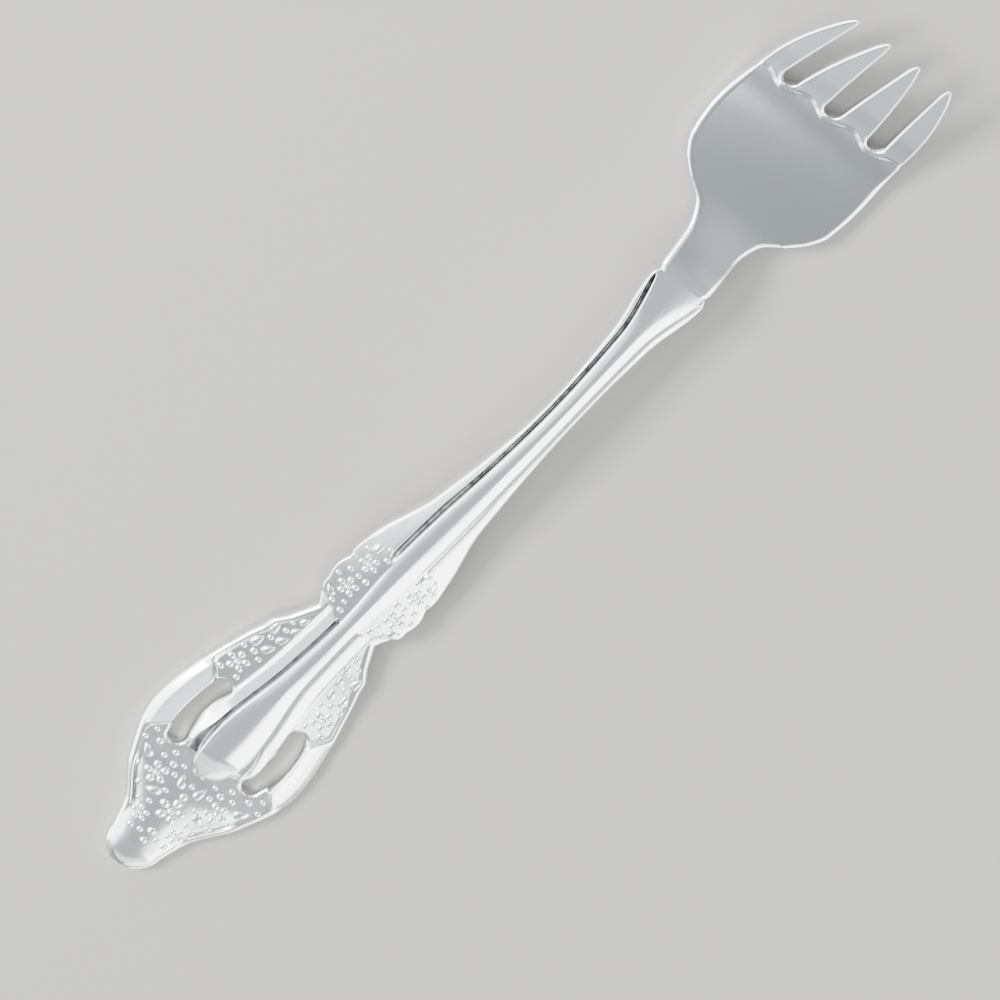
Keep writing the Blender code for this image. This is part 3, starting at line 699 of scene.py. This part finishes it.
# A leaf is a bead that narrows towards its tip, with a furrow along its midrib
lean = motif_math("MULTIPLY", axes["X"], given["Leaf Taper"])
narrowed = motif_math("MULTIPLY", lean, axes["Y"])
off_rib = motif_math("ABSOLUTE", axes["Y"])
furrow = motif_math("MULTIPLY", off_rib, given["Leaf Furrow"])
push = add_node(motif_tree, "ShaderNodeCombineXYZ", links={"Y": narrowed, "Z": furrow}).outputs["Vector"]
leaf = add_node(motif_tree, "GeometryNodeSetPosition",
                links={"Geometry": bead, "Offset": push}).outputs["Geometry"]

# A blossom is a ring of petals round a heart
ring = add_node(motif_tree, "GeometryNodeMeshCircle", values={"Radius": PETAL_RING},
                links={"Vertices": given["Petals"]}).outputs["Mesh"]
outward = add_node(motif_tree, "FunctionNodeAlignRotationToVector", {"axis": "X"}, links={"Vector": place})
petals = add_node(motif_tree, "GeometryNodeInstanceOnPoints", values={"Scale": PETAL_SCALE},
                  links={"Points": ring, "Instance": bead, "Rotation": outward.outputs["Rotation"]})
heart = add_node(motif_tree, "GeometryNodeTransform", values={"Scale": HEART_SCALE},
                 links={"Geometry": bead})
blossom = add_node(motif_tree, "GeometryNodeJoinGeometry", links={"Geometry": petals.outputs["Instances"]})
motif_tree.links.new(heart.outputs["Geometry"], blossom.inputs["Geometry"])

# Each point carries its motif's kind, turn, upright direction and half size
carried = {}
for name, kind in (("motif", "FLOAT"), ("turn", "FLOAT"),
                   ("upright", "FLOAT_VECTOR"), ("half_size", "FLOAT_VECTOR")):
    reader = add_node(motif_tree, "GeometryNodeInputNamedAttribute", {"data_type": kind}, {"Name": name})
    carried[name] = reader.outputs["Attribute"]
turned = add_node(motif_tree, "ShaderNodeCombineXYZ", links={"Z": carried["turn"]}).outputs["Vector"]
seated = add_node(motif_tree, "FunctionNodeAlignRotationToVector", {"axis": "Z"},
                  links={"Rotation": turned, "Vector": carried["upright"]}).outputs["Rotation"]
everything = add_node(motif_tree, "GeometryNodeJoinGeometry")
for number, shape in ((BEAD, bead), (LEAF, leaf), (BLOSSOM, blossom.outputs["Geometry"])):
    chosen = add_node(motif_tree, "ShaderNodeMath", {"operation": "COMPARE"}, {1: number, 2: 0.1},
                      {0: carried["motif"]}).outputs[0]
    placed = add_node(motif_tree, "GeometryNodeInstanceOnPoints",
                      links={"Points": given["Points"], "Selection": chosen, "Instance": shape,
                             "Rotation": seated, "Scale": carried["half_size"]})
    motif_tree.links.new(placed.outputs["Instances"], everything.inputs["Geometry"])
realized = add_node(motif_tree, "GeometryNodeRealizeInstances",
                    links={"Geometry": everything.outputs["Geometry"]})
smooth = add_node(motif_tree, "GeometryNodeSetShadeSmooth",
                  links={"Geometry": realized.outputs["Geometry"]})
finished = add_node(motif_tree, "GeometryNodeSetMaterial",
                    links={"Geometry": smooth.outputs["Geometry"], "Material": given["Material"]})
add_node(motif_tree, "NodeGroupOutput", links={"Motifs": finished.outputs["Geometry"]})

MOTIF_SINK = 0.4
MOTIF_SHAPES = {BEAD: (1, 0.7), LEAF: (0.48, 0.45), BLOSSOM: (1, 0.38)}
SLOPE_REACH = 0.4


def coined(name, motifs):
    """A piece with each motif on both halves of the fork, seated on the coined face.

    A motif is its kind, x, y, half length and turn in degrees. Its kind gives its width and height.
    """
    rows = []
    for kind, x, y, length, *turn in motifs:
        width, height = (share * length for share in MOTIF_SHAPES[kind])
        degrees = turn[0] if turn else 0
        rows.append((x, y, length, width, height, degrees, kind))
        if y > 0:
            rows.append((x, -y, length, width, height, -degrees, kind))
    x, y, length, width, height, turn, kind = np.array(rows, float).T
    slope_x = (upper_face(x + SLOPE_REACH, y) - upper_face(x - SLOPE_REACH, y)) / (2 * SLOPE_REACH)
    slope_y = (upper_face(x, y + SLOPE_REACH) - upper_face(x, y - SLOPE_REACH)) / (2 * SLOPE_REACH)
    mesh = bpy.data.meshes.new(name + "_points")
    places = np.stack([x, y, upper_face(x, y) - MOTIF_SINK * height], axis=1)
    mesh.from_pydata((places * MM + (NOSE_X, 0, 0)).tolist(), [], [])
    for layer, values in (("motif", kind), ("turn", np.radians(turn))):
        mesh.attributes.new(layer, "FLOAT", "POINT").data.foreach_set("value", values.astype(np.float32))
    half_size = (length * MM, width * MM, height * MM)
    for layer, values in (("upright", (-slope_x, -slope_y, 1 + 0 * x)), ("half_size", half_size)):
        data = mesh.attributes.new(layer, "FLOAT_VECTOR", "POINT").data
        data.foreach_set("vector", np.stack(values, axis=1).astype(np.float32).ravel())
    obj = bpy.data.objects.new(name, mesh)
    bpy.context.scene.collection.objects.link(obj)
    modifier = obj.modifiers.new("coining", "NODES")
    modifier.node_group = motif_tree
    for socket in motif_tree.interface.items_tree:
        if socket.name in MOTIF_SETTINGS:
            modifier[socket.identifier] = MOTIF_SETTINGS[socket.name]
        elif socket.name == "Material":
            modifier[socket.identifier] = polished_steel
    obj.data = bpy.data.meshes.new_from_object(obj.evaluated_get(bpy.context.evaluated_depsgraph_get()))
    obj.modifiers.clear()
    bpy.data.meshes.remove(mesh)
    return obj


handle_coining = coined("handle_coining", [
    (BEAD, 5.6, 0, 0.6), (BEAD, 7.4, 0, 0.75), (BEAD, 6.3, 2.8, 0.55), (BEAD, 6.6, 1.4, 0.5),
    (BLOSSOM, 8.5, 2.9, 1.35, 20),
    (BLOSSOM, 11.4, 0, 2.2), (BEAD, 10.1, 4.4, 0.5), (BEAD, 10.7, 3.1, 0.5), (BEAD, 11.9, 5.8, 0.6),
    (LEAF, 12.4, 3.7, 1.25, 115), (BEAD, 13.4, 2.5, 0.5), (BLOSSOM, 14.6, 5.0, 1.8, 30),
    (BEAD, 14.1, 0, 0.65), (BEAD, 14.0, 7.5, 0.55), (LEAF, 15.6, 1.5, 1.2, 20), (BEAD, 15.8, 2.9, 0.5),
    (BEAD, 15.8, 0, 0.5),
    (BEAD, 16.8, 3.9, 0.6), (BEAD, 17.1, 5.7, 0.5), (LEAF, 16.4, 7.8, 1.3, 50), (BEAD, 17.4, 2.6, 0.45),
    (BEAD, 18.3, 4.7, 0.55), (BEAD, 17.8, 9.4, 0.5), (BEAD, 18.4, 7.4, 0.6), (BEAD, 19.6, 8.8, 0.45),
    (BEAD, 32.3, 5.8, 0.5), (BEAD, 32.2, 8.4, 0.55), (BLOSSOM, 34.2, 7.1, 1.75, 10), (BEAD, 36.2, 5.3, 0.5),
    (BEAD, 36.6, 8.0, 0.5), (BEAD, 36.8, 6.5, 0.6), (LEAF, 38.4, 7.2, 1.3, -15),
    (LEAF, 38.3, 5.3, 1.2, -30), (BEAD, 39.9, 6.2, 0.5), (LEAF, 41.5, 6.7, 1.3, 5),
    (LEAF, 40.6, 4.8, 1.1, -30), (BEAD, 42.1, 5.4, 0.5),
    (LEAF, 42.9, 4.3, 1.0, -25), (BEAD, 43.6, 5.5, 0.4), (LEAF, 44.8, 4.4, 0.9, -20)])
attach(handle_coining, "root")

knop_coining = coined("knop_coining", [
    (BEAD, WAIST + 1.6, 2.5, 0.55), (BEAD, WAIST + 2.0, 4.2, 0.5), (LEAF, WAIST + 3.0, 5.2, 1.0, 60),
    (BEAD, WAIST + 2.9, 2.9, 0.4), (BLOSSOM, WAIST + 4.9, 3.9, 1.6, 15), (BEAD, WAIST + 5.6, 6.0, 0.45),
    (BEAD, WAIST + 7.0, 2.6, 0.55), (BEAD, WAIST + 7.1, 5.2, 0.5), (BEAD, WAIST + 7.0, 3.8, 0.45),
    (BLOSSOM, WAIST + 9.3, 3.9, 1.5, 40), (BEAD, WAIST + 8.9, 6.0, 0.45), (BEAD, WAIST + 11.3, 2.6, 0.5),
    (LEAF, WAIST + 11.9, 4.4, 1.2, -15), (BEAD, WAIST + 10.9, 5.4, 0.45), (BEAD, WAIST + 12.8, 3.2, 0.45)])
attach(knop_coining, "root")


# Stem
# The slender shank: the panel between two struck grooves that end in a teardrop at the shoulders,
# with a rounded bead along each edge.

SHOULDER_REACH = 6
stem_x = np.concatenate([np.linspace(STEM_START, SHOULDER - SHOULDER_REACH, 190)[:-1],
                         np.linspace(SHOULDER - SHOULDER_REACH, SHOULDER, 50)])
stem_strip = panelled(stem_x, stem_outline(stem_x), (4, 8, 8, 14))
stem = stamped("stem", [stem_strip], polished_steel, "painted_shade", upper_painted_shade)
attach(stem, "root")
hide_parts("stem")


# Neck
# The plain run from the shoulders to the heel, where the stamping widens and thins into the palm.
# The stem's crown runs out along it, and the palm's shallow hollow begins.

HEAD_EDGE_ROUND = 0.85
HEAD_EDGE_FALL = 0.75
DISH_DEPTH = 0.15
DISH_FLAT = 9.3
CROSS_HOLLOW = 0.4
HOLLOW_LEVEL = 0.2
PALM_HALF = 12.1
NECK_THICKNESS = 2.6
BEND_REACH = 3.5
head_outline = smooth_curve(
    (SHOULDER, SHOULDER_HALF), (SHOULDER + 0.9, 3.95), (SHOULDER + 5.2, 4.0), (HEEL - 2, 5.2), (HEEL, 7.8),
    (HEEL + 2, 10.1), (HEEL + 4.5, 11.5), (HEEL + 9.8, PALM_HALF), (ROOT, 11.45))
head_thickness = smooth_curve((SHOULDER, NECK_THICKNESS), (HEEL, 1.8), (ROOT, 1.8), (TIP, 1.0))
neck_crown = smooth_curve((SHOULDER, 0.25), (SHOULDER + 5, 0.25), (HEEL + 1, 0), (TIP, 0))
dish_growth = smooth_curve((SHOULDER + 5.2, 0), (HEEL, 1), (TIP, 1))


def head_back(x, y):
    """Underside of the head, which turns up a little towards the edges."""
    rise = np.clip(np.abs(y) - DISH_FLAT, 0, None) / (PALM_HALF - DISH_FLAT)
    return underside(x) + DISH_DEPTH * dish_growth(x) * rise ** 2


def head_face(x, y):
    """Face of the head: bent more softly than the back, crowned on the neck and hollow across the palm."""
    share = np.clip(np.abs(y) / head_outline(x), 0, 1)
    soft = np.mean([underside(x + reach) for reach in np.linspace(-BEND_REACH, BEND_REACH, 9)], axis=0)
    softened = (soft - underside(x)) * ease(x, SHOULDER, HEEL) * (1 - ease(x, ROOT, ROOT + BEND_REACH))
    hollow = CROSS_HOLLOW * dish_growth(x) * ((y / PALM_HALF) ** 2 - HOLLOW_LEVEL)
    crown = neck_crown(x) * (1 - share ** CROWN_POWER)
    return underside(x) + head_thickness(x) + softened + hollow + crown


def edge_slope(x):
    return (head_outline(x + LEAST_STEP) - head_outline(x - LEAST_STEP)) / (2 * LEAST_STEP)


# Satin stainless steel: the bowl of the fork is brushed lengthwise to a soft grey, and its edges and
# the shoulders are rubbed bright, with their colour lifted as a painted highlight. The brush lines are
# drawn coarser than the real 0.05 mm to show.
BRUSH_SPACING_MM = 0.15

satin_steel = bpy.data.materials.new("satin_stainless_steel")
satin_steel.use_nodes = True
tree = satin_steel.node_tree
shader = tree.nodes["Principled BSDF"]
shader.inputs["Metallic"].default_value = 1
place = add_node(tree, "ShaderNodeTexCoord").outputs["Object"]
polish_and_sheen = add_node(tree, "ShaderNodeAttribute", {"attribute_name": "polish_and_sheen"}).outputs["Fac"]
brush_place = add_node(tree, "ShaderNodeMapping", values={"Scale": (0.03, 1, 1)}, links={"Vector": place})
brush = add_node(tree, "ShaderNodeTexNoise",
                 values={"Scale": 1 / (BRUSH_SPACING_MM * MM), "Detail": 3, "Roughness": 0.6},
                 links={"Vector": brush_place.outputs["Vector"]})
grey = add_node(tree, "ShaderNodeMix", {"data_type": "RGBA"},
                {"A": colour("A3A8AC"), "B": colour("AAAFB3")}, {"Factor": brush.outputs["Fac"]})
# Painted highlight over real polish: rubbed-bright places take bright steel's colour and a low roughness
tint = add_node(tree, "ShaderNodeMix", {"data_type": "RGBA"}, {"B": colour("E4E6E6")},
                {"A": grey.outputs["Result"], "Factor": polish_and_sheen})
tree.links.new(tint.outputs["Result"], shader.inputs["Base Color"])
satin = add_node(tree, "ShaderNodeMapRange",
                 values={"From Min": 0.3, "From Max": 0.7, "To Min": 0.23, "To Max": 0.27},
                 links={"Value": brush.outputs["Fac"]})
gloss = add_node(tree, "ShaderNodeMix", {"data_type": "FLOAT"}, {"B": 0.13},
                 {"A": satin.outputs["Result"], "Factor": polish_and_sheen})
tree.links.new(gloss.outputs["Result"], shader.inputs["Roughness"])
bump = add_node(tree, "ShaderNodeBump", values={"Strength": 0.1, "Distance": 0.01 * MM},
                links={"Height": brush.outputs["Fac"]})
tree.links.new(bump.outputs["Normal"], shader.inputs["Normal"])


RIM_POLISH_AND_SHEEN = (0.3, 0.8)
SHOULDER_POLISH_AND_SHEEN = 4


def neck_polish_and_sheen(x, y, z):
    """Rubbed bright, and painted lighter as a highlight, at the shoulders and along the rim."""
    rim = 1 - ease(head_outline(x) - np.abs(y), *RIM_POLISH_AND_SHEEN)
    return np.maximum(rim, 1 - ease(x, SHOULDER, SHOULDER + SHOULDER_POLISH_AND_SHEEN))


neck_x = np.linspace(SHOULDER, HEEL, 60)
half = head_outline(neck_x)
neck_strip = strip(neck_x, (-half, half), (70,), head_face, head_back, (True, True), HEAD_EDGE_ROUND, 40,
                   HEAD_EDGE_FALL, edge_slope(neck_x))
neck = stamped("neck", [neck_strip], satin_steel, "polish_and_sheen", neck_polish_and_sheen)
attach(neck, "root")
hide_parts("neck")


# Palm
# The dished plate that the tines grow from, with the round ends of the three tine slots in its front
# edge and a scalloped step across their roots, where the tines were swaged thinner.

TINE_SLOT_RADIUS = 1.15
TINE_SLOT_PITCH = 7.0
SLOT_CENTRES = (TINE_SLOT_PITCH, 0, -TINE_SLOT_PITCH)
TINE_EDGE_ROUND = 0.45
ROOT_STEP_DEPTH = 0.25
ROOT_STEP_WIDTH = 0.3
ROOT_STEP_BACK = 1.9
ROOT_STEP_BOW = 1.2
RIM_CHANGE = 6


def root_step(x, y):
    """How far the face has stepped down: a scallop round each slot end, bowed out between them."""
    bow = (1 - np.cos(2 * math.pi * y / TINE_SLOT_PITCH)) / 2
    start = ROOT - ROOT_STEP_BACK + ROOT_STEP_BOW * bow
    return ROOT_STEP_DEPTH * ease(x, start, start + ROOT_STEP_WIDTH)


def off_tine_slots(x, y):
    """Distance to the nearest slot end, for points on the palm."""
    return np.min([np.hypot(x - ROOT, y - centre) for centre in SLOT_CENTRES], axis=0) - TINE_SLOT_RADIUS


def palm_face(x, y):
    return head_face(x, y) - root_step(x, y) - fillet(np.maximum(off_tine_slots(x, y), 0), TINE_EDGE_ROUND)


def palm_back(x, y):
    return head_back(x, y) + fillet(np.maximum(off_tine_slots(x, y), 0), TINE_EDGE_ROUND)


def palm_polish_and_sheen(x, y, z):
    """Rubbed bright and painted lighter as a highlight along the rim, round the slot ends and on the step.
    """
    rim = np.minimum(head_outline(x) - np.abs(y), off_tine_slots(x, y))
    stepped = root_step(x, y) / ROOT_STEP_DEPTH
    # Painted highlight: a light line along the middle of the root step
    return np.maximum(1 - ease(rim, *RIM_POLISH_AND_SHEEN), 4 * stepped * (1 - stepped))


palm_x = np.concatenate([np.linspace(HEEL, ROOT - TINE_SLOT_RADIUS - FINE_STEP, 80),
                         ROOT - TINE_SLOT_RADIUS * np.cos(slot_turn)])
half = head_outline(palm_x)
gap = np.sqrt(np.clip(TINE_SLOT_RADIUS ** 2 - (palm_x - ROOT) ** 2, 0, None))
notched = gap > 1e-6
to_tines = ease(palm_x, ROOT - RIM_CHANGE, ROOT)
rim_round = HEAD_EDGE_ROUND + (TINE_EDGE_ROUND - HEAD_EDGE_ROUND) * to_tines
rim_fall = HEAD_EDGE_FALL + (1 - HEAD_EDGE_FALL) * to_tines
divide = np.minimum(TINE_SLOT_PITCH, 0.6 * half)
outer = strip(palm_x, (divide + gap, half), (24,), palm_face, palm_back, (notched, True), rim_round, 12,
              rim_fall, edge_slope(palm_x))
inner = strip(palm_x, (gap, divide - gap), (32,), palm_face, palm_back, (notched, notched), TINE_EDGE_ROUND)
palm = stamped("palm", [outer, inner, mirrored(inner), mirrored(outer)], satin_steel, "polish_and_sheen", palm_polish_and_sheen)
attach(palm, "root")
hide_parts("palm")


# Tines
# Four tapered tines, bent up from the palm and drawn to round points, with edges rubbed bright and
# painted lighter as a highlight.

TINE_LENGTH = TIP - ROOT
TINE_POINT = 1.6
TINE_TIP_HALF = 0.55
OUTER_BELLY = 0.8
INNER_BELLY = 0.35
OUTER_TIP = 7.4
INNER_TIP = 2.35
TINE_POLISH_AND_SHEEN = (0.15, 0.5)


def tine_edges(x, outer):
    """Inner and outer side of a tine on the +Y half."""
    t = (x - ROOT) / TINE_LENGTH
    root_in = TINE_SLOT_PITCH + TINE_SLOT_RADIUS if outer else TINE_SLOT_RADIUS
    root_out = head_outline(ROOT) if outer else TINE_SLOT_PITCH - TINE_SLOT_RADIUS
    tip = OUTER_TIP if outer else INNER_TIP
    belly = OUTER_BELLY if outer else INNER_BELLY
    near = root_in + (tip - TINE_TIP_HALF - root_in) * t
    far = root_out + (tip + TINE_TIP_HALF - root_out) * t + belly * 4 * t * (1 - t)
    point = arc_growth(TIP - x, TINE_POINT)
    middle = (near + far) / 2
    return middle + (near - middle) * point, middle + (far - middle) * point


def tine_face(x, y):
    return head_face(x, y) - root_step(x, y)


point_turn = np.linspace(0.08, math.pi / 2, 14)[::-1]
tine_x = np.concatenate([np.arange(ROOT, TIP - TINE_POINT - STEP / 2, STEP),
                         TIP - TINE_POINT * (1 - np.cos(point_turn))])
for number, outer, side in ((1, True, 1), (2, False, 1), (3, False, -1), (4, True, -1)):
    near, far = tine_edges(tine_x, outer)

    # Tine edges rubbed bright and painted lighter as a highlight
    def tine_polish_and_sheen(x, y, z):
        low, high = tine_edges(np.clip(x, ROOT, TIP), outer)
        return 1 - ease(np.minimum(np.abs(y) - low, high - np.abs(y)), *TINE_POLISH_AND_SHEEN)

    blade = strip(tine_x, (near, far), (30,), tine_face, head_back, radius=TINE_EDGE_ROUND)
    blade = blade if side > 0 else mirrored(blade)
    tine = stamped(f"tine_{number}", [blade], satin_steel, "polish_and_sheen", tine_polish_and_sheen)
    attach(tine, "root")
    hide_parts(f"tine_{number}")


# Stage
# A plain pale floor in a grey room that is bright on the left, with a soft key light from there.
# Six white cards, which only the metal mirrors, lay the light bands along the handle, stem and rims.

FLOOR_DROP = 0.00005
FLOOR_SIZE = 4
ROOM_STRENGTH = 0.92

floor_mesh = bpy.data.meshes.new("floor")
corner = FLOOR_SIZE / 2
floor_mesh.from_pydata([(-corner, -corner, -FLOOR_DROP), (corner, -corner, -FLOOR_DROP),
                        (corner, corner, -FLOOR_DROP), (-corner, corner, -FLOOR_DROP)], [], [(0, 1, 2, 3)])
floor = bpy.data.objects.new("floor", floor_mesh)
bpy.context.scene.collection.objects.link(floor)
floor_paint = bpy.data.materials.new("matt_pale_laminate")
floor_paint.use_nodes = True
floor_paint.node_tree.nodes["Principled BSDF"].inputs["Base Color"].default_value = colour("BBB8B3")
floor_paint.node_tree.nodes["Principled BSDF"].inputs["Roughness"].default_value = 0.6
floor_mesh.materials.append(floor_paint)

world = bpy.data.worlds.new("studio")
world.use_nodes = True
tree = world.node_tree
direction = add_node(tree, "ShaderNodeTexCoord").outputs["Generated"]
sky = add_node(tree, "ShaderNodeSeparateXYZ", links={"Vector": direction})
ceiling = add_node(tree, "ShaderNodeMapRange", {"interpolation_type": "SMOOTHSTEP"},
                   {"From Min": 0, "From Max": 0.9}, {"Value": sky.outputs["Z"]})
room = add_node(tree, "ShaderNodeMix", {"data_type": "RGBA"},
                {"A": colour("747678"), "B": (0.9, 0.94, 0.97, 1)}, {"Factor": ceiling.outputs["Result"]})
window = add_node(tree, "ShaderNodeMapRange", {"interpolation_type": "SMOOTHSTEP"},
                  {"From Min": 0.13, "From Max": 0.27}, {"Value": sky.outputs["Y"]})
lit_room = add_node(tree, "ShaderNodeMix", {"data_type": "RGBA"}, {"B": (2.6, 2.68, 2.76, 1)},
                    {"A": room.outputs["Result"], "Factor": window.outputs["Result"]})
tree.links.new(lit_room.outputs["Result"], tree.nodes["Background"].inputs["Color"])
tree.nodes["Background"].inputs["Strength"].default_value = ROOM_STRENGTH
bpy.context.scene.world = world


def soft_light(name, place, size, brightness, only_mirrored=False):
    """Oblong area light aimed at the fork. Its power follows from its brightness and area."""
    data = bpy.data.lights.new(name, "AREA")
    data.shape = "RECTANGLE"
    data.size, data.size_y = size
    data.energy = brightness * math.pi * size[0] * size[1]
    light = bpy.data.objects.new(name, data)
    light.location = place
    light.rotation_euler = (-Vector(place)).to_track_quat("-Z", "Y").to_euler()
    light.visible_diffuse = not only_mirrored
    bpy.context.scene.collection.objects.link(light)


soft_light("key_left", (-0.10, 0.95, 0.75), (0.4, 0.35), 52)
soft_light("white_card_left", (-0.42, 1.00, 0.58), (2.0, 1.2), 6, True)
soft_light("white_card_right", (-0.27, -0.98, 0.63), (1.08, 1.05), 8, True)
soft_light("white_card_front", (0.90, -0.48, 0.56), (0.6, 0.55), 7, True)
soft_light("white_card_high", (0.62, -0.42, 0.95), (0.7, 0.5), 0.6, True)
soft_light("white_card_back", (-1.00, -0.36, 0.53), (0.9, 0.30), 1.9, True)
soft_light("white_card_low", (-0.88, -0.70, 0.22), (0.55, 0.36), 6, True)

# The photograph's camera stands on the tines' side, turned over, so the nose points down and left
CAMERA_PLACE = (0.3007, 0.2499, 0.7316)
CAMERA_RIGHT = Vector((0.6401, -0.7683, 0)).normalized()
CAMERA_BACK = Vector((0.3666, 0.3054, 0.8788)).normalized()
CAMERA_LENS = 234
CAMERA_SENSOR = 36

camera_data = bpy.data.cameras.new("camera")
camera_data.lens = CAMERA_LENS
camera_data.sensor_width = CAMERA_SENSOR
camera = bpy.data.objects.new("camera", camera_data)
turn = Matrix((CAMERA_RIGHT, CAMERA_BACK.cross(CAMERA_RIGHT), CAMERA_BACK)).transposed().to_4x4()
camera.matrix_world = Matrix.Translation(CAMERA_PLACE) @ turn
bpy.context.scene.collection.objects.link(camera)
bpy.context.scene.camera = camera
